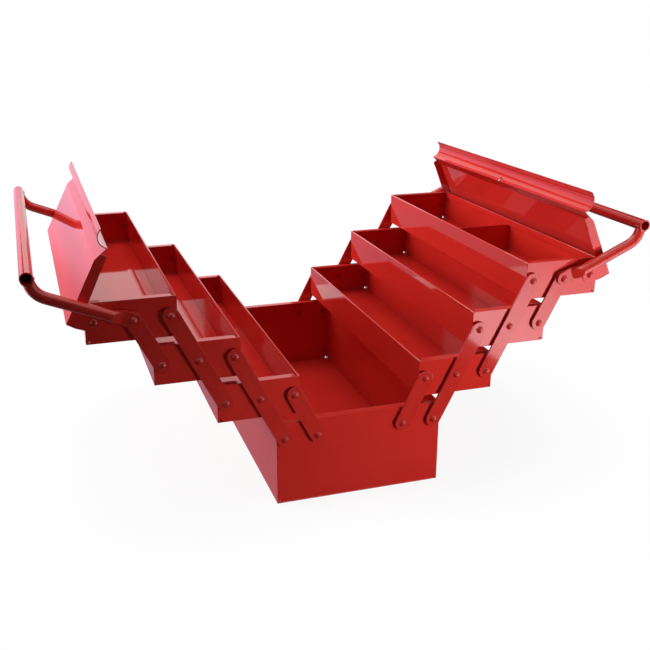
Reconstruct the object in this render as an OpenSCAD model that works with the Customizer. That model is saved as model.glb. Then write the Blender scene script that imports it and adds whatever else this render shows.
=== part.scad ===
// Cantilever tool box of folded steel sheet: a base pan, three trays on each side that swing
// out and up on flat links, two lids and two carrying handles. It is drawn opened out.
// +X is the way the trays open, +Y runs from the front end to the rear end, +Z is up.
// The origin is the middle of the underside of the base.

/* [Base] */
// Width of the base, across the way the trays open
base_w = 200; // [190:1:240]
// Length of the base and of every tray
base_l = 420; // [300:5:560]
// Height of the base
base_h = 102; // [80:1:140]
// Thickness of the steel sheet
sheet_t = 1; // [0.8:0.1:1.2]
// Length of the flange along the top of each end wall of the base
base_flange_l = 146; // [110:1:150]

/* [Trays] */
// Height of a tray
tray_h = 44; // [42:1:52]
// Gap between the two rows of trays when the box is closed
centre_gap = 12; // [10:1:16]
// Gap between stacked trays when the box is closed
tray_gap = 1; // [0.5:0.1:2]
// Gap between the lower trays and the base when the box is closed
base_gap = 2; // [0.5:0.1:3]
// Width of the flange that is turned in along the top of an end wall
flange_w = 9; // [6:0.5:11]
// Distance from a corner to the end of that flange
flange_clear = 5; // [4:0.5:8]
// Thickness of the hem along the top of a long wall
hem_w = 2.2; // [2.2:0.1:3]
// Depth of that hem
hem_h = 7; // [4:0.5:9]
// Width of the tabs that lap inside the long walls at the corners
tab_w = 12; // [8:1:16]
// Diameter of the relief holes in the bottom corners
relief_d = 2.5; // [2:0.5:5]
// Height of the divider in the right top tray
divider_h = 36; // [25:1:38]
// Width of the feet that are turned out along the bottom of a divider
divider_foot = 10; // [6:1:14]

/* [Links] */
// Distance between neighbouring rivet holes in a tray
hole_pitch = 39; // [36:0.5:40]
// Distance from an outer wall to the first rivet hole
hole_inset = 9; // [9:0.5:12]
// Height of the rivet holes above the underside of a tray
hole_up = 23; // [20:0.5:24]
// Lean of the links away from upright in the open box, in degrees
link_lean = 27; // [15:0.5:30]
// Width of a link
link_w = 18; // [14:0.5:18]
// Thickness of a link
link_t = 2; // [1.5:0.1:3]

/* [Rivets] */
// Diameter of a rivet shank
rivet_d = 5; // [4:0.5:6]
// Diameter of a rivet head
rivet_head_d = 8.4; // [7.5:0.1:10]
// Height of a rivet head
rivet_head_h = 2.4; // [1.5:0.1:3]
// Diameter of the spacer washers behind the links
washer_d = 11; // [9.5:0.5:13]
// Thickness of the spacer washers
washer_t = 1.6; // [1.4:0.1:2.5]
// Clearance around a rivet in a hole that turns on it
turn_clear = 0.05; // [0.02:0.01:0.09]
// Clearance between flat faces that slide on each other
slide_clear = 0.15; // [0.1:0.05:0.2]

/* [Lids] */
// Gap between the outer wall of a top tray and the skirt of its lid
skirt_gap = 2.5; // [1.5:0.1:4]
// Depth of the skirt along the outer edge
skirt_h = 10; // [8:0.5:11]
// Gap between the rim of a tray and its lid at the outer wall
lid_gap = 1.7; // [1.6:0.1:2]
// Distance from the outer edge of a lid to the crest of its panel
crest_at = 72; // [60:1:74]
// Rise of the panel from the outer edge to its crest
crest_rise = 4; // [3:0.5:5]
// Distance from the middle of the closed box to the valley beside the arch
valley_at = 16.5; // [16:0.5:18]
// Height of the upright part of an arch below its round part
arch_rise = 3; // [1:0.5:3]
// Radius of the arch along the free edge of the right lid
right_arch_r = 14; // [14:0.5:16]
// How far the arch of the right lid passes the middle of the closed box
right_arch_past = 2; // [1:0.5:4]
// Radius of the arch along the free edge of the left lid
left_arch_r = 12; // [10:0.5:12]
// How far the arch of the left lid stops short of the middle of the closed box
left_arch_short = 1; // [0:0.5:3]
// Depth of the flanges at the ends of a lid
lid_flange_h = 10; // [8:0.5:11]
// Length of the padlock slit in the right lid
slit_l = 11; // [8:0.5:12]
// Width of the padlock slit in the right lid
slit_w = 4; // [3:0.5:6]
// Length of the narrow slot in the left lid
slot_l = 40; // [20:1:60]
// Width of the narrow slot in the left lid
slot_w = 1.6; // [1:0.1:2.5]
// Opening angle of the left lid
left_lid_open = 60; // [58:1:63]
// Opening angle of the right lid
right_lid_open = 63; // [58:1:64]

/* [Handles] */
// Diameter of the grip tubes
grip_d = 13.4; // [12:0.2:14]
// Diameter of the tubes of the arms
arm_d = 12.4; // [10:0.2:12.8]
// Wall thickness of a grip tube
grip_wall = 1.5; // [1:0.1:2.5]
// Length of the straight part of an arm, from its pivot
arm_l = 89; // [88:1:100]
// Radius of the bend at the grip end of an arm
bend_r = 24; // [18:1:30]
// Angle of that bend
bend_angle = 50; // [40:1:60]
// Length of the straight end past that bend
end_reach = 8; // [7:0.5:10]
// Thickness of the flattened end of an arm
tab_t = 3; // [2:0.5:4]
// Width of the flattened end of an arm
tab_end_w = 16; // [14:0.5:17]
// Angle of the straight part of the left arms above level in the open box
left_arm_angle = 22; // [20:1:30]
// Angle of the straight part of the right arms above level in the open box
right_arm_angle = 24; // [20:1:30]

/* [Hidden] */
$fn = 48;
front = -1;
rear = 1;

// The linkage: every pair of joined holes is one link_r apart
stack_pitch = tray_h + tray_gap;
link_r = sqrt(hole_pitch * hole_pitch + stack_pitch * stack_pitch);
step_x = link_r * sin(link_lean);
step_z = link_r * cos(link_lean);
stage_x = hole_pitch + step_x;
base_hole_z = base_h + base_gap + hole_up - stack_pitch;
base_hole_x = base_w / 2 - hole_inset;
tray_w = (base_w - centre_gap) / 2;
end_y = base_l / 2;

// Layers outside an end wall, measured outwards from it. The tube of an arm starts a little
// further out than its flattened end
tube_out = 0.4;
ear_in = slide_clear;
ear_out = ear_in + sheet_t;
link_in = washer_t + slide_clear;
link_out = link_in + link_t;
arm_in = link_out + slide_clear;
arm_out = arm_in + tab_t;
tube_y = arm_in + tube_out + arm_d / 2;
grip_l = base_l + 2 * (tube_y + arm_d / 2);

// The lid in its closed pose, measured from its hinge
rim_up = tray_h - hole_up;
lid_x = hole_inset + skirt_gap + sheet_t;
lid_top = rim_up + lid_gap + sheet_t;
crest_x = lid_x - crest_at;
valley_x = valley_at - base_hole_x;
valley_top = rim_up + slide_clear + sheet_t;
crest_top = lid_top + crest_rise;
flange_short = 7;
flange_x = valley_x + flange_short;
ear_r = 10;

// The tail of a rivet inside the wall
tail_d = rivet_d + 2;
tail_h = 1.2;

// How far joined shapes run into each other
bite = 1;

// The grip in the frame of an arm that lies along +X from its pivot
grip_x = arm_l + bend_r * sin(bend_angle) + end_reach * cos(bend_angle);
grip_z = bend_r * (1 - cos(bend_angle)) + end_reach * sin(bend_angle);
flat_l = 11;
taper_l = 13;
tip_step = 0.2;
round_l = flat_l + taper_l;

// Places: a hole in the base is level 0, and the trays are levels 1 to 3 from below.
// In a tray, slot 0 is the outer hole, slot 1 the middle one and slot 2 the inner one.
function tray_x(level) = base_w / 2 + level * stage_x;
function tray_z(level) = base_hole_z + level * step_z - hole_up;
function hole_x(level, slot) = tray_x(level) - hole_inset - slot * hole_pitch;
function hole_z(level) = tray_z(level) + hole_up;
function base_slot_x(slot) = base_hole_x - slot * hole_pitch;

module left_side() {
    mirror([1, 0, 0]) children();
}

// Draws its children at the front end as they are given, or mirrored to the rear end
module at_end(which) {
    if (which == front) {
        children();
    } else {
        mirror([0, 1, 0]) children();
    }
}

module both_ends() {
    at_end(front) children();
    at_end(rear) children();
}

// An outline in X and Z, drawn out along Y and centred on y = 0
module along_y(length) {
    rotate([90, 0, 0]) linear_extrude(height = length, center = true) children();
}

// A bar or rod between two distances outside the front end wall, its outline in X and Z
module outside_wall(inner, outer) {
    translate([0, -end_y - (inner + outer) / 2, 0]) along_y(outer - inner) children();
}

// A round rod along Y with its axis at the origin of X and Z
module pin(diameter, inner, outer) {
    outside_wall(inner, outer) circle(d = diameter);
}

// A flange turned in along the top of the front end wall, from x_min to x_max
module end_flange(x_min, x_max, top) {
    round_r = flange_w * 0.45;
    translate([0, -end_y, top - sheet_t]) {
        linear_extrude(height = sheet_t) {
            translate([x_min, 0]) square([x_max - x_min, flange_w - round_r]);
            translate([x_min + round_r, 0]) square([x_max - x_min - 2 * round_r, flange_w]);
            translate([x_min + round_r, flange_w - round_r]) circle(r = round_r);
            translate([x_max - round_r, flange_w - round_r]) circle(r = round_r);
        }
    }
}

// A hem folded inwards along the top of a long wall whose outer face is at x, inwards along dir
module hem(x, dir, top) {
    inner_x = x + dir * (hem_w - sheet_t / 2);
    wall_x = x + dir * hem_w / 2;
    fold_z = top - hem_w / 2;
    along_y(base_l) {
        translate([inner_x, fold_z - hem_h / 2]) square([sheet_t, hem_h], center = true);
        intersection() {
            translate([wall_x, fold_z]) circle(d = hem_w);
            translate([wall_x, fold_z + hem_w / 2]) square([hem_w, hem_w], center = true);
        }
        translate([wall_x, fold_z - sheet_t / 2]) square([hem_w, sheet_t], center = true);
    }
}

// A long wall of sheet whose outer face is at x, stopping below its hem
module long_wall(x, dir, height) {
    translate([min(x, x + dir * sheet_t), -end_y, 0]) cube([sheet_t, base_l, height - hem_w / 2]);
}

// The tab of an end wall that laps the inside of the long wall at the front corner
module corner_tab(x, dir, height) {
    tab_h = height - hem_h - hem_w - 4;
    tab_x = x + dir * sheet_t;
    translate([min(tab_x, tab_x + dir * sheet_t), -end_y, sheet_t]) {
        cube([sheet_t, tab_w + sheet_t, tab_h]);
    }
}

// An open pan of sheet between x_min and x_max, its end flanges between two other places
module pan(x_min, x_max, height, flange_min, flange_max) {
    width = x_max - x_min;
    difference() {
        union() {
            translate([x_min, -end_y, 0]) cube([width, base_l, sheet_t]);
            long_wall(x_min, 1, height);
            long_wall(x_max, -1, height);
            hem(x_min, 1, height);
            hem(x_max, -1, height);
            both_ends() {
                translate([x_min, -end_y, 0]) cube([width, sheet_t, height - hem_w / 2]);
                translate([x_min + hem_w, -end_y, 0]) cube([width - 2 * hem_w, sheet_t, height]);
                end_flange(flange_min, flange_max, height);
                corner_tab(x_min, 1, height);
                corner_tab(x_max, -1, height);
            }
        }
        both_ends() {
            for (x = [x_min + relief_d + 1, x_max - relief_d - 1]) {
                translate([x, 0, relief_d]) pin(relief_d, -3, 1);
            }
        }
    }
}

// One rivet through the front end wall: a domed head outside, the shank and a tail inside
module rivet(x, z, head_at) {
    dome_r = (rivet_head_h * rivet_head_h + rivet_head_d * rivet_head_d / 4) / (2 * rivet_head_h);
    translate([x, 0, z]) {
        pin(rivet_d, -sheet_t - tail_h, head_at + bite);
        pin(tail_d, -sheet_t - tail_h, -sheet_t);
        translate([0, -end_y - head_at, 0]) {
            rotate([90, 0, 0]) {
                intersection() {
                    cylinder(d = rivet_head_d, h = rivet_head_h);
                    translate([0, 0, rivet_head_h - dome_r]) sphere(r = dome_r);
                }
            }
        }
    }
}

// One spacer washer between the front end wall and a link
module washer(x, z) {
    translate([x, 0, z]) {
        outside_wall(0, washer_t) {
            difference() {
                circle(d = washer_d);
                circle(d = rivet_d + 2 * turn_clear);
            }
        }
    }
}

module base_pan() {
    color("firebrick") {
        difference() {
            pan(-base_w / 2, base_w / 2, base_h, -base_flange_l / 2, base_flange_l / 2);
            both_ends() {
                for (side = [-1, 1], slot = [0, 1]) {
                    translate([side * base_slot_x(slot), 0, base_hole_z]) pin(rivet_d, -3, 1);
                }
            }
        }
    }
}

module base_rivets() {
    color("darkred") {
        both_ends() {
            for (slot = [0, 1]) {
                rivet(base_slot_x(slot), base_hole_z, link_out + slide_clear);
                left_side() rivet(base_slot_x(slot), base_hole_z, link_out + slide_clear);
            }
        }
    }
}

module base_washers() {
    color("indianred") {
        both_ends() {
            for (slot = [0, 1]) {
                washer(base_slot_x(slot), base_hole_z);
                left_side() washer(base_slot_x(slot), base_hole_z);
            }
        }
    }
}

// A tray at its place in the open right-hand row
module tray(level) {
    inner_x = tray_x(level) - tray_w;
    outer_x = tray_x(level);
    color("firebrick") {
        translate([0, 0, tray_z(level)]) {
            difference() {
                pan(inner_x, outer_x, tray_h, inner_x + flange_clear, outer_x - flange_clear);
                both_ends() {
                    for (slot = [0, 1, 2]) {
                        translate([hole_x(level, slot), 0, hole_up]) pin(rivet_d, -3, 1);
                    }
                }
            }
        }
    }
}

// How far outside the wall the head of a rivet sits: the top tray's outer rivet holds only the
// lid, and its middle one holds a link and a handle arm
function head_at(level, slot) =
    level == 3 && slot == 0 ? ear_out + slide_clear :
    level == 3 && slot == 1 ? arm_out + slide_clear :
    link_out + slide_clear;

module tray_rivets(level) {
    color("darkred") {
        both_ends() {
            for (slot = [0, 1, 2]) {
                rivet(hole_x(level, slot), hole_z(level), head_at(level, slot));
            }
        }
    }
}

module tray_washers(level) {
    color("indianred") {
        both_ends() {
            for (slot = level == 3 ? [1, 2] : [0, 1, 2]) {
                washer(hole_x(level, slot), hole_z(level));
            }
        }
    }
}

// The divider across the middle of the right top tray, on two turned-out feet
module divider() {
    width = tray_w - 2 * sheet_t - 2 * slide_clear;
    width_top = tray_w - 2 * hem_w - sheet_t - 2 * slide_clear;
    below_hem = tray_h - hem_w / 2 - hem_h - 1 - sheet_t;
    middle_x = tray_x(3) - tray_w / 2;
    color("brown") {
        translate([middle_x, 0, tray_z(3) + sheet_t]) {
            along_y(sheet_t) {
                translate([-width / 2, 0]) square([width, min(divider_h, below_hem)]);
                translate([-width_top / 2, 0]) square([width_top, divider_h]);
            }
            translate([-width / 2, -divider_foot / 2, 0]) cube([width, divider_foot, sheet_t]);
        }
    }
}

// A link that joins count holes, one above another at the front end, from the hole given
module link(x, z, count) {
    reach = (count - 1) * link_r;
    color("indianred") {
        translate([x, 0, z]) {
            rotate([0, link_lean, 0]) {
                outside_wall(link_in, link_out) {
                    difference() {
                        union() {
                            circle(d = link_w);
                            translate([0, reach]) circle(d = link_w);
                            translate([-link_w / 2, 0]) square([link_w, reach]);
                        }
                        for (hole = [0 : count - 1]) {
                            translate([0, hole * link_r]) circle(d = rivet_d + 2 * turn_clear);
                        }
                    }
                }
            }
        }
    }
}

module lower_short_link() {
    link(base_slot_x(1), base_hole_z, 2);
}

module lower_long_link() {
    link(base_slot_x(0), base_hole_z, 3);
}

module upper_long_link() {
    link(hole_x(1, 0), hole_z(1), 3);
}

module upper_short_link() {
    link(hole_x(2, 0), hole_z(2), 2);
}

// The arch along the free edge of a lid: sheet that stands up, turns through a quarter round
// and runs on towards the middle of the box, to a distance past it
module arch_outline(arch_r, past) {
    run_on = valley_at - arch_r + past;
    translate([valley_x - arch_r, valley_top - sheet_t / 2]) {
        translate([arch_r - sheet_t, 0]) square([sheet_t, arch_rise + sheet_t / 2]);
        translate([0, arch_rise]) {
            intersection() {
                difference() {
                    circle(r = arch_r);
                    circle(r = arch_r - sheet_t);
                }
                translate([-run_on, 0]) square([run_on + arch_r, arch_r]);
            }
        }
    }
}

// The panel of a lid with its skirt: it rises from the edge to a crest, then falls to a valley
module panel_outline() {
    polygon([
        [lid_x, lid_top],
        [lid_x, lid_top - skirt_h],
        [lid_x - sheet_t, lid_top - skirt_h],
        [lid_x - sheet_t, lid_top - sheet_t],
        [crest_x, crest_top - sheet_t],
        [valley_x, valley_top - sheet_t],
        [valley_x - sheet_t, valley_top - sheet_t],
        [valley_x - sheet_t, valley_top - sheet_t / 4],
        [valley_x, valley_top],
        [crest_x, crest_top]
    ]);
}

// The height of the panel's upper face between its valley and its crest
function fall_z(x) = valley_top + (x - valley_x) * (crest_top - valley_top) / (crest_x - valley_x);

// The flange at an end of a lid, with the ear that turns on the hinge rivet
module lid_end_outline() {
    low_z = lid_top - lid_flange_h;
    difference() {
        union() {
            polygon([
                [lid_x, lid_top - sheet_t / 2],
                [lid_x, lid_top - skirt_h],
                [ear_r, 0],
                [-ear_r, 0],
                [-1.6 * ear_r, low_z],
                [crest_x, low_z + crest_rise],
                [flange_x + 2, low_z + crest_rise],
                [flange_x, low_z + crest_rise + 2],
                [flange_x, fall_z(flange_x) - sheet_t / 2],
                [crest_x, crest_top - sheet_t / 2]
            ]);
            circle(r = ear_r);
        }
        circle(d = rivet_d + 2 * turn_clear);
    }
}

// A lid in its closed pose on its hinge
module lid_sheet(arch_r, past) {
    along_y(base_l + 2 * ear_out) {
        panel_outline();
        arch_outline(arch_r, past);
    }
    both_ends() outside_wall(ear_in, ear_out) lid_end_outline();
}

// Puts a closed lid of the right-hand row on its hinge and opens it
module hang_lid(angle) {
    translate([hole_x(3, 0), 0, hole_z(3)]) rotate([0, angle, 0]) children();
}

module left_lid() {
    color("lightcoral") {
        left_side() {
            hang_lid(left_lid_open) {
                difference() {
                    lid_sheet(left_arch_r, -left_arch_short);
                    translate([valley_x + 2, 0, valley_top]) {
                        cube([slot_w, slot_l, 6], center = true);
                    }
                }
            }
        }
    }
}

module right_lid() {
    color("crimson") {
        hang_lid(right_lid_open) {
            difference() {
                lid_sheet(right_arch_r, right_arch_past);
                translate([valley_x - 2, 0, valley_top]) cube([slit_l, slit_w, 12], center = true);
            }
        }
    }
}

// Puts a handle of the right-hand row on its pivot at an angle above level
module hang_handle(angle) {
    translate([hole_x(3, 1), 0, hole_z(3)]) rotate([0, -angle, 0]) children();
}

module grip() {
    color("indianred") {
        translate([grip_x, 0, grip_z]) {
            along_y(grip_l) {
                difference() {
                    circle(d = grip_d);
                    circle(d = grip_d - 2 * grip_wall);
                }
            }
        }
    }
}

// The flattened end of a front arm, tapering into the round tube
module flat_outline() {
    circle(d = tab_end_w);
    polygon([
        [0, -tab_end_w / 2],
        [flat_l, -tab_end_w / 2],
        [round_l, -arm_d / 3],
        [round_l, arm_d / 3],
        [flat_l, tab_end_w / 2],
        [0, tab_end_w / 2]
    ]);
}

// What the press takes off the tube between its flattened end and its full round
module press_wedge() {
    translate([0, -end_y, -tab_end_w / 2]) {
        linear_extrude(height = tab_end_w) {
            polygon([
                [flat_l - 1, -arm_out],
                [flat_l, -arm_out],
                [round_l, -tube_y - arm_d / 2 - 1],
                [flat_l - 1, -tube_y - arm_d / 2 - 1]
            ]);
        }
    }
}

// The end of an arm past its bend, drawn down a little and cut to sit on the grip
module arm_tip() {
    difference() {
        translate([arm_l, -end_y - tube_y, bend_r]) {
            rotate([0, -bend_angle, 0]) {
                translate([-bite, 0, -bend_r]) {
                    rotate([0, 90, 0]) cylinder(d = arm_d - 2 * tip_step, h = end_reach + bite);
                }
            }
        }
        translate([grip_x, 0, grip_z]) along_y(grip_l + 2) circle(d = grip_d);
    }
}

// The bend of an arm, a part of a ring around its own centre
module arm_bend() {
    translate([arm_l, -end_y - tube_y, bend_r]) {
        rotate([90, 0, 0]) {
            rotate([0, 0, -90]) {
                rotate_extrude(angle = bend_angle) translate([bend_r, 0]) circle(d = arm_d);
            }
        }
    }
}

// The straight part of an arm, pressed flat towards its pivot
module arm_straight() {
    difference() {
        translate([flat_l, -end_y - tube_y, 0]) {
            rotate([0, 90, 0]) cylinder(d = arm_d, h = arm_l - flat_l);
        }
        press_wedge();
    }
    outside_wall(arm_in, arm_out) {
        difference() {
            flat_outline();
            circle(d = rivet_d + 2 * turn_clear);
        }
    }
}

// The front arm of a handle
module arm() {
    color("firebrick") {
        arm_straight();
        arm_bend();
        arm_tip();
    }
}

module left_lower_tray() {
    left_side() tray(1);
}

module left_lower_rivets() {
    left_side() tray_rivets(1);
}

module left_lower_washers() {
    left_side() tray_washers(1);
}

module left_middle_tray() {
    left_side() tray(2);
}

module left_middle_rivets() {
    left_side() tray_rivets(2);
}

module left_middle_washers() {
    left_side() tray_washers(2);
}

module left_top_tray() {
    left_side() tray(3);
}

module left_top_rivets() {
    left_side() tray_rivets(3);
}

module left_top_washers() {
    left_side() tray_washers(3);
}

module right_lower_tray() {
    tray(1);
}

module right_lower_rivets() {
    tray_rivets(1);
}

module right_lower_washers() {
    tray_washers(1);
}

module right_middle_tray() {
    tray(2);
}

module right_middle_rivets() {
    tray_rivets(2);
}

module right_middle_washers() {
    tray_washers(2);
}

module right_top_tray() {
    tray(3);
}

module right_top_rivets() {
    tray_rivets(3);
}

module right_top_washers() {
    tray_washers(3);
}

module right_top_divider() {
    divider();
}

module left_lower_short_link_front() {
    left_side() at_end(front) lower_short_link();
}

module left_lower_short_link_rear() {
    left_side() at_end(rear) lower_short_link();
}

module left_lower_long_link_front() {
    left_side() at_end(front) lower_long_link();
}

module left_lower_long_link_rear() {
    left_side() at_end(rear) lower_long_link();
}

module left_upper_long_link_front() {
    left_side() at_end(front) upper_long_link();
}

module left_upper_long_link_rear() {
    left_side() at_end(rear) upper_long_link();
}

module left_upper_short_link_front() {
    left_side() at_end(front) upper_short_link();
}

module left_upper_short_link_rear() {
    left_side() at_end(rear) upper_short_link();
}

module right_lower_short_link_front() {
    at_end(front) lower_short_link();
}

module right_lower_short_link_rear() {
    at_end(rear) lower_short_link();
}

module right_lower_long_link_front() {
    at_end(front) lower_long_link();
}

module right_lower_long_link_rear() {
    at_end(rear) lower_long_link();
}

module right_upper_long_link_front() {
    at_end(front) upper_long_link();
}

module right_upper_long_link_rear() {
    at_end(rear) upper_long_link();
}

module right_upper_short_link_front() {
    at_end(front) upper_short_link();
}

module right_upper_short_link_rear() {
    at_end(rear) upper_short_link();
}

module left_handle_grip() {
    left_side() hang_handle(left_arm_angle) grip();
}

module left_handle_arm_front() {
    left_side() hang_handle(left_arm_angle) at_end(front) arm();
}

module left_handle_arm_rear() {
    left_side() hang_handle(left_arm_angle) at_end(rear) arm();
}

module right_handle_grip() {
    hang_handle(right_arm_angle) grip();
}

module right_handle_arm_front() {
    hang_handle(right_arm_angle) at_end(front) arm();
}

module right_handle_arm_rear() {
    hang_handle(right_arm_angle) at_end(rear) arm();
}

base_pan();
base_rivets();
base_washers();
left_lower_tray();
left_lower_rivets();
left_lower_washers();
left_middle_tray();
left_middle_rivets();
left_middle_washers();
left_top_tray();
left_top_rivets();
left_top_washers();
right_lower_tray();
right_lower_rivets();
right_lower_washers();
right_middle_tray();
right_middle_rivets();
right_middle_washers();
right_top_tray();
right_top_rivets();
right_top_washers();
right_top_divider();
left_lower_short_link_front();
left_lower_short_link_rear();
left_lower_long_link_front();
left_lower_long_link_rear();
left_upper_long_link_front();
left_upper_long_link_rear();
left_upper_short_link_front();
left_upper_short_link_rear();
right_lower_short_link_front();
right_lower_short_link_rear();
right_lower_long_link_front();
right_lower_long_link_rear();
right_upper_long_link_front();
right_upper_long_link_rear();
right_upper_short_link_front();
right_upper_short_link_rear();
left_lid();
right_lid();
left_handle_grip();
left_handle_arm_front();
left_handle_arm_rear();
right_handle_grip();
right_handle_arm_front();
right_handle_arm_rear();
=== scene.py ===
# %% [markdown]
# # A red cantilever tool box
# The box is folded from thin steel sheet, riveted together, sprayed with glossy red enamel and
# stoved. The construction model already has every sheet, link and rivet at its real size. This
# lesson gives those parts their finish, rounds their edges, adds the welds and lights the box.

# %% Load the fixed frame
import bpy
import math
from mathutils import Matrix, Vector


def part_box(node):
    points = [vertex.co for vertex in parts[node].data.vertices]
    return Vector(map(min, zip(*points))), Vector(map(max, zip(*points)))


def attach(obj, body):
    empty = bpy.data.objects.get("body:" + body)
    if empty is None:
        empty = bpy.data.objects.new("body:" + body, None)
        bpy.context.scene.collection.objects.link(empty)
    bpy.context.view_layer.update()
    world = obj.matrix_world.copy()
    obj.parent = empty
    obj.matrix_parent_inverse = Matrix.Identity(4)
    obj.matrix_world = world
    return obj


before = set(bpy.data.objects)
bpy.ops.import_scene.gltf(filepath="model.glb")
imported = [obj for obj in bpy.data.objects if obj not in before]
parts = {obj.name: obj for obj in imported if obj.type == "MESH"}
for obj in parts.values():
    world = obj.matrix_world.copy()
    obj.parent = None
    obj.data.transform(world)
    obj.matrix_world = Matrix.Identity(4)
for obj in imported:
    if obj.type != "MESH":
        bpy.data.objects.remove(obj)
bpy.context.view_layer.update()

# %% [markdown]
# ## Colours
# Paint makers and photographs give colours as sRGB hex values, but a shader counts light, so
# each value is turned to linear light by one function. All colours below go through it.

# %% Turn a hex colour to linear light
def linear(hex_code):
    channels = [int(hex_code[i:i + 2], 16) / 255 for i in (1, 3, 5)]
    bent = [c / 12.92 if c <= 0.04045 else ((c + 0.055) / 1.055) ** 2.4 for c in channels]
    return (*bent, 1.0)

WHITE = linear("#FFFFFF")
print("enamel red in linear light:", [round(c, 3) for c in linear("#D8332B")])

# %% [markdown]
# ## Adding nodes
# A material is a small graph of nodes. Adding one always takes the same steps: make it, give it
# its settings, then fill each input with a number, a colour or a link from another node. One
# function does all of that, so the recipes below read like a list of ingredients.

# %% A function that adds one node with its settings and links
MM = 0.001

def add(tree, kind, inputs=None, **settings):
    node = tree.nodes.new(kind)
    for name, value in settings.items():
        setattr(node, name, value)
    for socket, value in (inputs or {}).items():
        if isinstance(value, bpy.types.NodeSocket):
            tree.links.new(value, node.inputs[socket])
        else:
            node.inputs[socket].default_value = value
    return node

print("one millimetre is", MM, "of the scene's units")

# %% [markdown]
# ## Painted shade along the edges
# Every edge gets a darker red: painted shade for the thin dark line that shade lays along it.
# It could be painted on by hand, but every part has such edges. A bevel node finds them: near an
# edge its rounded normal turns away from the face's own, so the cosine between the two falls
# below one. Patches of a few millimetres break the dark line up.

# %% The red of the enamel with painted shade along its edges
EDGE_COSINE = (0.995, 0.86)
SHADE_PATCH_MM, SHADE_PATCH_DETAIL = 7, 3.0
SHADE_PATCH_NOISE, EDGE_SHADE_SHARE = (0.38, 0.62), (0.25, 0.85)
# The darker red below is painted shade along every edge, broken up into patches.
EDGE_SHADE_RED = "#6A100C"

def painted_edge_shade(tree, place, rounded, tint):
    face = add(tree, "ShaderNodeNewGeometry").outputs["Normal"]
    cosine = add(tree, "ShaderNodeVectorMath", {0: rounded, 1: face}, operation="DOT_PRODUCT")
    near_edge = add(tree, "ShaderNodeMapRange",
                    {"Value": cosine.outputs["Value"],
                     "From Min": EDGE_COSINE[0], "From Max": EDGE_COSINE[1]})
    patch = add(tree, "ShaderNodeTexNoise",
                {"Vector": place, "Scale": 1 / (SHADE_PATCH_MM * MM), "Detail": SHADE_PATCH_DETAIL})
    shade_patches = add(tree, "ShaderNodeMapRange",
               {"Value": patch.outputs["Fac"],
                "From Min": SHADE_PATCH_NOISE[0], "From Max": SHADE_PATCH_NOISE[1],
                "To Min": EDGE_SHADE_SHARE[0], "To Max": EDGE_SHADE_SHARE[1]})
    edge_shade_amount = add(tree, "ShaderNodeMath", {0: near_edge.outputs[0], 1: shade_patches.outputs[0]},
               operation="MULTIPLY")
    return add(tree, "ShaderNodeMix",
               {"Factor": edge_shade_amount.outputs[0], "A": tint, "B": linear(EDGE_SHADE_RED)},
               data_type="RGBA").outputs["Result"]

# The red printed here is painted shade along the edges.
print("primer", EDGE_SHADE_RED, "shows through", EDGE_SHADE_SHARE, "of the way")

# %% [markdown]
# ## Gloss enamel
# The real finish is a stoved alkyd enamel: a coloured resin that flows out on the steel and sets
# to a hard, almost mirror-like skin. Looked at straight on it shows its deep red, and at a flat
# angle it mirrors the white studio and turns pink. A plain dielectric shader with the index of
# refraction of such a resin does both by itself, so the colour is not painted lighter where more
# light falls, except on the lids, whose red is painted a little lighter as painted light.
#
# Three more real things are added. Sprayed enamel dries with a faint "orange peel", waves of a
# few millimetres. Handling leaves soft smears that change the gloss. The film is thinner on some
# patches, which shifts the red a little.

# %% The enamel recipe
ENAMEL_IOR = 1.5
EDGE_REACH_MM, EDGE_SAMPLES = 0.5, 6
FILM_DETAIL, PEEL_DETAIL = 3.0, 1.0
SMEARS_PER_PATCH, SMEAR_DETAIL, SMEAR_ROUGHNESS = 1.7, 5.0, 0.6
SMEAR_NOISE = (0.35, 0.75)

def enamel(name, red, deep, peel_mm, peel_depth_mm, gloss, patch_mm):
    material = bpy.data.materials.new(name)
    material.use_nodes = True
    tree = material.node_tree
    shader = tree.nodes["Principled BSDF"]
    shader.inputs["IOR"].default_value = ENAMEL_IOR
    place = add(tree, "ShaderNodeTexCoord").outputs["Object"]

    # normals that round the edges off, with orange peel on top
    rounded = add(tree, "ShaderNodeBevel", {"Radius": EDGE_REACH_MM * MM},
                  samples=EDGE_SAMPLES).outputs["Normal"]
    peel = add(tree, "ShaderNodeTexNoise",
               {"Vector": place, "Scale": 1 / (peel_mm * MM), "Detail": PEEL_DETAIL})
    bump = add(tree, "ShaderNodeBump",
               {"Height": peel.outputs["Fac"], "Distance": peel_depth_mm * MM, "Strength": 1.0,
                "Normal": rounded})
    tree.links.new(bump.outputs["Normal"], shader.inputs["Normal"])

    # smears in the gloss
    smear = add(tree, "ShaderNodeTexNoise",
                {"Vector": place, "Scale": SMEARS_PER_PATCH / (patch_mm * MM),
                 "Detail": SMEAR_DETAIL, "Roughness": SMEAR_ROUGHNESS})
    rough = add(tree, "ShaderNodeMapRange",
                {"Value": smear.outputs["Fac"],
                 "From Min": SMEAR_NOISE[0], "From Max": SMEAR_NOISE[1],
                 "To Min": gloss[0], "To Max": gloss[1]})
    tree.links.new(rough.outputs["Result"], shader.inputs["Roughness"])

    # the red, deeper where the film is thin, with painted shade along the edges
    film = add(tree, "ShaderNodeTexNoise",
               {"Vector": place, "Scale": 1 / (patch_mm * MM), "Detail": FILM_DETAIL})
    tint = add(tree, "ShaderNodeMix",
               {"Factor": film.outputs["Fac"], "A": linear(deep), "B": linear(red)},
               data_type="RGBA").outputs["Result"]
    tree.links.new(painted_edge_shade(tree, place, rounded, tint), shader.inputs["Base Color"])
    return material

print("enamel with an IOR of", ENAMEL_IOR, "and edges rounded over", EDGE_REACH_MM, "mm")

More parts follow.
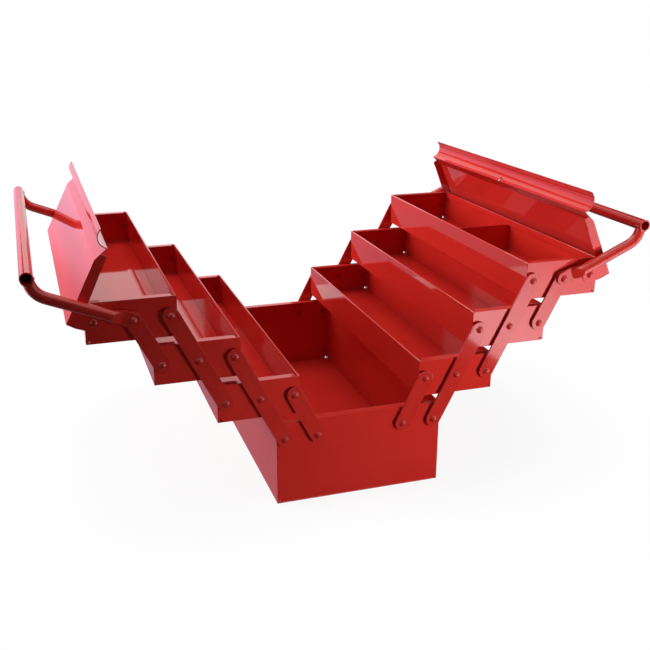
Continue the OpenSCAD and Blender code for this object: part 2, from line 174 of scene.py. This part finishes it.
# %% Make the enamels
# Each line: name, red, red of the thin patches, width and depth of the orange peel in mm,
# smallest and largest roughness, and the size of the patches in mm.
# Flat sheet mirrors almost cleanly, with long weak waves.
sheet_enamel = enamel("stoved_enamel_on_sheet", "#D8332B", "#CC2A23", 3.0, 0.003, (0.03, 0.08), 60)
# The lids are the largest flat sheets, so they are the cleanest mirror. Their red is painted a little
# lighter, as painted light.
lid_enamel_painted_lighter = enamel("stoved_enamel_on_lid_sheet_painted_lighter", "#DC352F", "#CE2C27", 4.0, 0.003, (0.03, 0.07), 80)
# Sheared bar is rougher under the paint, so its highlights are soft and wavy.
bar_enamel = enamel("stoved_enamel_on_sheared_bar", "#D2322A", "#BE2721", 2.5, 0.006, (0.06, 0.16), 25)
# Drawn tube shows one long highlight with slightly wavy borders.
tube_enamel = enamel("stoved_enamel_on_drawn_tube", "#D2322A", "#BE2721", 3.0, 0.005, (0.05, 0.12), 35)
# Rivet heads take a thick, uneven coat: a small blurred highlight and a deeper red.
rivet_enamel = enamel("stoved_enamel_on_pressed_rivet", "#C82E27", "#AA221C", 1.5, 0.01, (0.08, 0.2), 8)
print("enamels:", [m.name for m in bpy.data.materials])

# %% [markdown]
# ## Which part gets which enamel
# The whole box is one red, but sheared bar, drawn tube and pressed rivets take the enamel less
# evenly than flat sheet. The node names say what each part is, so they choose the finish.

# %% Give each part its enamel
def finish_for(node):
    if "rivet" in node or "washer" in node:
        return rivet_enamel
    if "link" in node:
        return bar_enamel
    if "handle" in node:
        return tube_enamel
    if "lid" in node:
        return lid_enamel_painted_lighter
    return sheet_enamel

for node, part in parts.items():
    part.data.materials.clear()
    part.data.materials.append(finish_for(node))
print("finished parts:", len(parts))

# %% [markdown]
# ## Rounded edges
# Sheared steel under enamel never shows a sharp corner: the resin draws back from it and sets in
# a small round of some tenths of a millimetre, which catches the thin bright line along every
# rim in the photograph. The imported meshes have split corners, so they are joined first. The
# links, tubes and lids are left to the enamel's own bevel node, because cut edges would make
# their long curved faces shade unevenly.

# %% Round the edges as the enamel does
JOIN_MM, ROUND_MM, ROUND_STEPS, SHARP_ANGLE = 0.002, 0.35, 2, math.radians(50)

def round_edges(part):
    weld = part.modifiers.new("join_corners", "WELD")
    weld.merge_threshold = JOIN_MM * MM
    bevel = part.modifiers.new("enamel_round", "BEVEL")
    bevel.width = ROUND_MM * MM
    bevel.segments = ROUND_STEPS
    bevel.limit_method = "ANGLE"
    bevel.angle_limit = SHARP_ANGLE
    bevel.harden_normals = True

for node, part in parts.items():
    if node.endswith(("tray", "pan", "divider")):
        round_edges(part)
print("parts with rounded edges:", sum(1 for part in parts.values() if part.modifiers))

# %% [markdown]
# ## Welds on the handles
# On the real box each bent arm is cut square and welded on to the grip tube all the way round.
# A hand-laid bead is a row of small overlapping ripples about two millimetres wide. It could be
# painted as bump, but it stands proud of both tubes, so here it is a real ring: a round section
# swept along the curve where the two cylinders cross, swelling and shrinking with each ripple.

# %% The handle's measures, from the construction model
PIVOT = Vector((250.103, 0, 241.174)) * MM
PIVOT_TO_GRIP = Vector((112.527, 0, 14.702)) * MM
ARM_TILT = {"left": math.radians(22), "right": math.radians(24)}
BEND = math.radians(50)
GRIP_R, TIP_R = 6.7 * MM, 6.0 * MM
ARM_INSET = 6.2 * MM
GRIP_END_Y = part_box("right_handle_grip")[1][1]
ARM_Y = GRIP_END_Y - ARM_INSET
print("arms cross the grips", round(ARM_Y / MM, 2), "mm from the middle of the box")

# %% The bead's own measures
BEAD_R = 1.15 * MM
BEAD_STEPS, SECTION_STEPS = 144, 10
RIPPLES, RIPPLE_SWELL = 22, 0.14
UNEVEN_TURNS, UNEVEN_SWELL = 5, 0.05
END_GAP = 0.05 * MM
BELOW_CROSSING = 20 * MM
NEXT_ANGLE = 0.01
print("bead", round(2 * BEAD_R / MM, 1), "mm wide with", RIPPLES, "ripples")

# %% The rings of the bead, along the crossing of arm and grip
def bead_points(side, end):
    turn = Matrix.Rotation(-ARM_TILT[side], 3, "Y")
    along = turn @ Vector((math.cos(BEND), 0, math.sin(BEND)))
    across = Vector((0, 1, 0))
    over = along.cross(across)
    centre = PIVOT + turn @ PIVOT_TO_GRIP + across * (ARM_Y * end)
    inside = centre - along * BELOW_CROSSING
    y_far = GRIP_END_Y - END_GAP

    def crossing(angle):
        back_off = math.sqrt(GRIP_R ** 2 - (TIP_R * math.sin(angle)) ** 2)
        return (centre + across * TIP_R * math.cos(angle) + over * TIP_R * math.sin(angle)
                - along * back_off)

    points = []
    for i in range(BEAD_STEPS):
        angle = 2 * math.pi * i / BEAD_STEPS
        here = crossing(angle)
        run = (crossing(angle + NEXT_ANGLE) - here).normalized()
        out = (here - inside).cross(run).normalized()
        side_way = run.cross(out)
        swell = BEAD_R * (1 + RIPPLE_SWELL * abs(math.sin(RIPPLES * angle / 2))
                          + UNEVEN_SWELL * math.sin(UNEVEN_TURNS * angle))
        for j in range(SECTION_STEPS):
            turn_by = 2 * math.pi * j / SECTION_STEPS
            p = here + out * swell * math.cos(turn_by) + side_way * swell * math.sin(turn_by)
            p.y = max(-y_far, min(y_far, p.y))
            if side == "left":
                p.x = -p.x
            points.append(p)
    return points

print("a bead has", BEAD_STEPS, "rings of", SECTION_STEPS, "points")

# %% Close the rings to a bead
def weld_bead(name, side, end):
    faces = []
    for i in range(BEAD_STEPS):
        row, next_row = i * SECTION_STEPS, (i + 1) % BEAD_STEPS * SECTION_STEPS
        for j in range(SECTION_STEPS):
            k = (j + 1) % SECTION_STEPS
            a, b, c, d = row + j, row + k, next_row + j, next_row + k
            faces.append((a, b, d, c) if side == "right" else (a, c, d, b))
    mesh = bpy.data.meshes.new(name)
    mesh.from_pydata(bead_points(side, end), [], faces)
    mesh.validate()
    for face in mesh.polygons:
        face.use_smooth = True
    bead = bpy.data.objects.new(name, mesh)
    bpy.context.scene.collection.objects.link(bead)
    return bead

print("and", BEAD_STEPS * SECTION_STEPS, "faces")

# %% Four welds that ride on the handles
# A bead cools in ripples, so its enamel is the most uneven and the least glossy.
weld_enamel = enamel("stoved_enamel_on_weld_bead", "#C82E27", "#A8211B", 1.2, 0.012, (0.1, 0.25), 6)
for side in ("left", "right"):
    for end, end_name in ((-1, "front"), (1, "rear")):
        bead = weld_bead(side + "_handle_weld_" + end_name, side, end)
        bead.data.materials.append(weld_enamel)
        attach(bead, side + "_handle_set")
        print("weld", bead.name, "points", len(bead.data.vertices))

# %% [markdown]
# ## The studio
# The photograph is a catalogue picture on pure white. The world is white where the camera looks
# and in reflections, so that the gloss shows the white studio. The soft light that it sheds
# comes mostly from behind the box, because the fronts of the pans are darker than their insides.

# %% What is seen straight or in a mirror
def in_sight(tree):
    path = add(tree, "ShaderNodeLightPath").outputs
    share = path["Is Camera Ray"]
    for ray in ("Is Glossy Ray", "Is Transmission Ray"):
        share = add(tree, "ShaderNodeMath", {0: share, 1: path[ray]}, operation="MAXIMUM").outputs[0]
    return share

print("in sight: rays from the camera, from mirrors and through glass")

# %% The white studio world
FRONT_TO_BACK, ROOM_LIGHT = (-0.5, 0.2), (0.05, 0.8)

world = bpy.data.worlds.new("white_studio")
bpy.context.scene.world = world
world.use_nodes = True
tree = world.node_tree
tree.nodes.clear()
aim = add(tree, "ShaderNodeSeparateXYZ", {0: add(tree, "ShaderNodeTexCoord").outputs["Generated"]})
depth = add(tree, "ShaderNodeMapRange",
            {"Value": aim.outputs["Y"], "From Min": FRONT_TO_BACK[0], "From Max": FRONT_TO_BACK[1],
             "To Min": ROOM_LIGHT[0], "To Max": ROOM_LIGHT[1]}, interpolation_type="SMOOTHSTEP")
room = add(tree, "ShaderNodeBackground", {"Color": WHITE, "Strength": depth.outputs[0]})
backdrop = add(tree, "ShaderNodeBackground", {"Color": WHITE, "Strength": 1.0})
mix = add(tree, "ShaderNodeMixShader",
          {0: in_sight(tree), 1: room.outputs[0], 2: backdrop.outputs[0]})
add(tree, "ShaderNodeOutputWorld", {"Surface": mix.outputs[0]})
print("world:", world.name, "with soft light from", ROOM_LIGHT[0], "in front to", ROOM_LIGHT[1])

# %% [markdown]
# ## The floor
# The box stands on white studio paper. A plane lit only by the lamps would come out grey with
# hard borders, so it is almost pure white where the camera looks, and only close to the box it
# lets a trace of the soft shadow through. For light that bounces up from it, it is grey: a white
# floor of this size would flatten the dark undersides that the photograph shows.

# %% The material of the paper
SHADOW_REACH, PAPER_SHARE = (0.28, 0.5), (0.9, 1.0)

paper = bpy.data.materials.new("matt_studio_paper")
paper.use_nodes = True
tree = paper.node_tree
tree.nodes.clear()
place = add(tree, "ShaderNodeNewGeometry").outputs["Position"]
away = add(tree, "ShaderNodeVectorMath", {0: place}, operation="LENGTH")
fade = add(tree, "ShaderNodeMapRange",
           {"Value": away.outputs["Value"], "From Min": SHADOW_REACH[0], "From Max": SHADOW_REACH[1],
            "To Min": PAPER_SHARE[0], "To Max": PAPER_SHARE[1]})
share = add(tree, "ShaderNodeMath", {0: in_sight(tree), 1: fade.outputs[0]}, operation="MULTIPLY")
bounce = add(tree, "ShaderNodeMix",
             {"Factor": add(tree, "ShaderNodeLightPath").outputs["Is Diffuse Ray"],
              "A": WHITE, "B": linear("#6E6C6C")}, data_type="RGBA")
matt = add(tree, "ShaderNodeBsdfDiffuse", {"Color": bounce.outputs["Result"]})
white = add(tree, "ShaderNodeEmission", {"Color": WHITE, "Strength": 1.0})
mix = add(tree, "ShaderNodeMixShader", {0: share.outputs[0], 1: matt.outputs[0], 2: white.outputs[0]})
add(tree, "ShaderNodeOutputMaterial", {"Surface": mix.outputs[0]})
print("paper: the shadow fades out between", SHADOW_REACH, "m from the middle")

# %% The floor
FLOOR_SIZE, FLOOR_DROP = 60, 0.2 * MM

bpy.ops.mesh.primitive_plane_add(size=FLOOR_SIZE, location=(0, 0, -FLOOR_DROP))
floor = bpy.context.object
floor.name = "studio_floor"
floor.data.materials.append(paper)
print("floor:", floor.name, "of", paper.name)

# %% [markdown]
# ## Lamps
# The photograph is lit softly from above, with a broad light from the left that brightens the
# left lid, and a low one in front on the right that lights the fronts of the links there. Area
# lamps stand in for the softboxes. The low one is hidden from reflections, where it would show
# as a bright square that the photograph does not have.

# %% Lamps
def softbox(name, place, aim, size, watts):
    lamp = bpy.data.lights.new(name, "AREA")
    lamp.shape = "RECTANGLE"
    lamp.size, lamp.size_y = size
    lamp.energy = watts
    box = bpy.data.objects.new(name, lamp)
    bpy.context.scene.collection.objects.link(box)
    box.location = place
    box.rotation_euler = (Vector(aim) - Vector(place)).to_track_quat("-Z", "Y").to_euler()
    print(name, "at", place, "watts", watts)
    return box

softbox("overhead_softbox", (-0.2, 0.3, 1.8), (0, 0, 0.1), (1.4, 1.4), 13)
softbox("left_softbox", (-1.5, 0.55, 0.7), (0, 0.1, 0.15), (1.2, 0.8), 22)
low_right = softbox("low_right_softbox", (0.52, -0.85, 0.1), (0.1, -0.2, 0.15), (0.3, 0.3), 6)
low_right.visible_glossy = False

# %% [markdown]
# ## Cards on the floor and behind
# Gloss paint shows its surroundings. In the photograph the fronts of the pans mirror a dark
# floor, those on the right a bright patch, and the left lid, seen almost edge on, a pink
# backdrop. Plain cards stand in for these, and only mirror reflections see them.

# %% Boards and cards
ON_FLOOR = 1 * MM

def board(name, centre, size, upright):
    bpy.ops.mesh.primitive_plane_add(size=1, location=centre)
    plane = bpy.context.object
    plane.name = name
    plane.scale = (*size, 1)
    if upright:
        plane.rotation_euler.x = math.radians(90)
    return plane

def card(name, centre, size, tone, upright=False):
    plane = board(name, centre, size, upright)
    surface = bpy.data.materials.new(name + "_board")
    surface.use_nodes = True
    surface.node_tree.nodes.clear()
    glow = add(surface.node_tree, "ShaderNodeEmission", {"Color": linear(tone), "Strength": 1.0})
    add(surface.node_tree, "ShaderNodeOutputMaterial", {"Surface": glow.outputs[0]})
    plane.data.materials.append(surface)
    plane.visible_camera = plane.visible_shadow = plane.visible_diffuse = False
    print("card", name, "tone", tone)
    return surface.node_tree, glow

print("cards on the floor lie", ON_FLOOR / MM, "mm above it")

# %% Cards that only the gloss sees
card("front_floor_card", (-0.52, -1.056, ON_FLOOR), (1.76, 1.69), "#242222")
card("back_floor_card", (-0.3, 1.15, ON_FLOOR), (1.2, 1.1), "#9A98A8")
card("back_right_card", (2.4, 2.5, 1.9), (3.4, 2.3), "#383434", upright=True)
card("back_left_card", (-0.85, 2.5, 1.9), (0.5, 2.2), "#383434", upright=True)
card("front_room_card", (-0.8, -2.2, 1.2), (4.4, 2.4), "#2A2828", upright=True)
card("left_floor_card", (-0.355, 0.06, ON_FLOOR), (0.51, 0.7), "#8C8C9A")
card("right_floor_card", (0.62, 0.5, ON_FLOOR), (0.84, 1.3), "#403C3C")

# %% [markdown]
# ## Two cards that fade
# The bright patch on the floor loses strength to the right. The pink backdrop behind the left
# lid is darker near the floor, and turns from pink to lilac higher up. A strength or a colour
# that follows the place on the card gives both, with no hard border in the gloss.

# %% The bright card on the floor
PATCH_X, PATCH_STRENGTH = (0.45, 0.75), (5.5, 2.6)

def place_on(tree):
    place = add(tree, "ShaderNodeNewGeometry").outputs["Position"]
    return add(tree, "ShaderNodeSeparateXYZ", {0: place}).outputs

tree, glow = card("bright_floor_card", (0.93, -0.95, ON_FLOOR), (1.14, 1.3), "#FFF0F6")
fade = add(tree, "ShaderNodeMapRange",
           {"Value": place_on(tree)["X"], "From Min": PATCH_X[0], "From Max": PATCH_X[1],
            "To Min": PATCH_STRENGTH[0], "To Max": PATCH_STRENGTH[1]})
tree.links.new(fade.outputs[0], glow.inputs["Strength"])

# %% The pink backdrop behind the left lid
LOW_Z, LOW_STRENGTH, LILAC_Z = (0.06, 0.12), (0.65, 1.02), (0.09, 0.24)
BACKDROP_PINK, BACKDROP_LILAC = "#FFADC3", "#F3DCFB"

tree, glow = card("left_back_card", (-0.75, 1.2, 0.25), (1.1, 0.5), BACKDROP_PINK, upright=True)
height = place_on(tree)["Z"]
fade = add(tree, "ShaderNodeMapRange",
           {"Value": height, "From Min": LOW_Z[0], "From Max": LOW_Z[1],
            "To Min": LOW_STRENGTH[0], "To Max": LOW_STRENGTH[1]})
hue = add(tree, "ShaderNodeMapRange", {"Value": height, "From Min": LILAC_Z[0], "From Max": LILAC_Z[1]})
tone = add(tree, "ShaderNodeMix",
           {"Factor": hue.outputs[0], "A": linear(BACKDROP_PINK), "B": linear(BACKDROP_LILAC)},
           data_type="RGBA")
tree.links.new(fade.outputs[0], glow.inputs["Strength"])
tree.links.new(tone.outputs["Result"], glow.inputs["Color"])

# %% [markdown]
# ## A black flag
# Photographers keep light off a part of the picture with a black board on a stand. This one
# shades the upper left trays from the low lamp, as they are darker in the photograph. It is
# covered with felt, which is as matt as a surface gets and throws no light of its own.

# %% A black flag that keeps the low light off the upper left
FELT_ROUGHNESS = 1.0

flag = board("upper_left_flag", (-0.2, -0.53, 0.36), (0.66, 0.46), upright=True)
felt = bpy.data.materials.new("black_felt")
felt.use_nodes = True
felt.node_tree.nodes["Principled BSDF"].inputs["Base Color"].default_value = linear("#1A1A1A")
felt.node_tree.nodes["Principled BSDF"].inputs["Roughness"].default_value = FELT_ROUGHNESS
flag.data.materials.append(felt)
flag.visible_camera = flag.visible_glossy = False
print("flag at", [round(c, 2) for c in flag.location])

# %% [markdown]
# ## The camera
# The camera stands left of the front end and looks down by about 19 degrees. Its place
# comes from matching the corners of the pans with the photograph.

# %% The camera
AZIMUTH, ELEVATION, ROLL = math.radians(-18.298), math.radians(19.344), math.radians(0.217)
DISTANCE, TARGET = 1.24957, Vector((0.02628, 0, 0.13509))
FOCAL_PX, FRAME_PX, SENSOR_MM = 925.2, 650, 36

camera_data = bpy.data.cameras.new("camera")
camera = bpy.data.objects.new("camera", camera_data)
bpy.context.scene.collection.objects.link(camera)
camera_data.sensor_width = SENSOR_MM
camera_data.lens = FOCAL_PX / FRAME_PX * SENSOR_MM
back = Vector((math.sin(AZIMUTH) * math.cos(ELEVATION), -math.cos(AZIMUTH) * math.cos(ELEVATION),
               math.sin(ELEVATION)))
right = (-back).cross(Vector((0, 0, 1))).normalized()
up = right.cross(-back)
across = right * math.cos(ROLL) + up * math.sin(ROLL)
upright = up * math.cos(ROLL) - right * math.sin(ROLL)
camera.matrix_world = Matrix((across, upright, back)).transposed().to_4x4()
camera.location = TARGET + back * DISTANCE
bpy.context.scene.camera = camera
bpy.context.scene.view_settings.view_transform = "Standard"
print("camera at", [round(c, 3) for c in camera.location], "lens", round(camera_data.lens, 1), "mm")
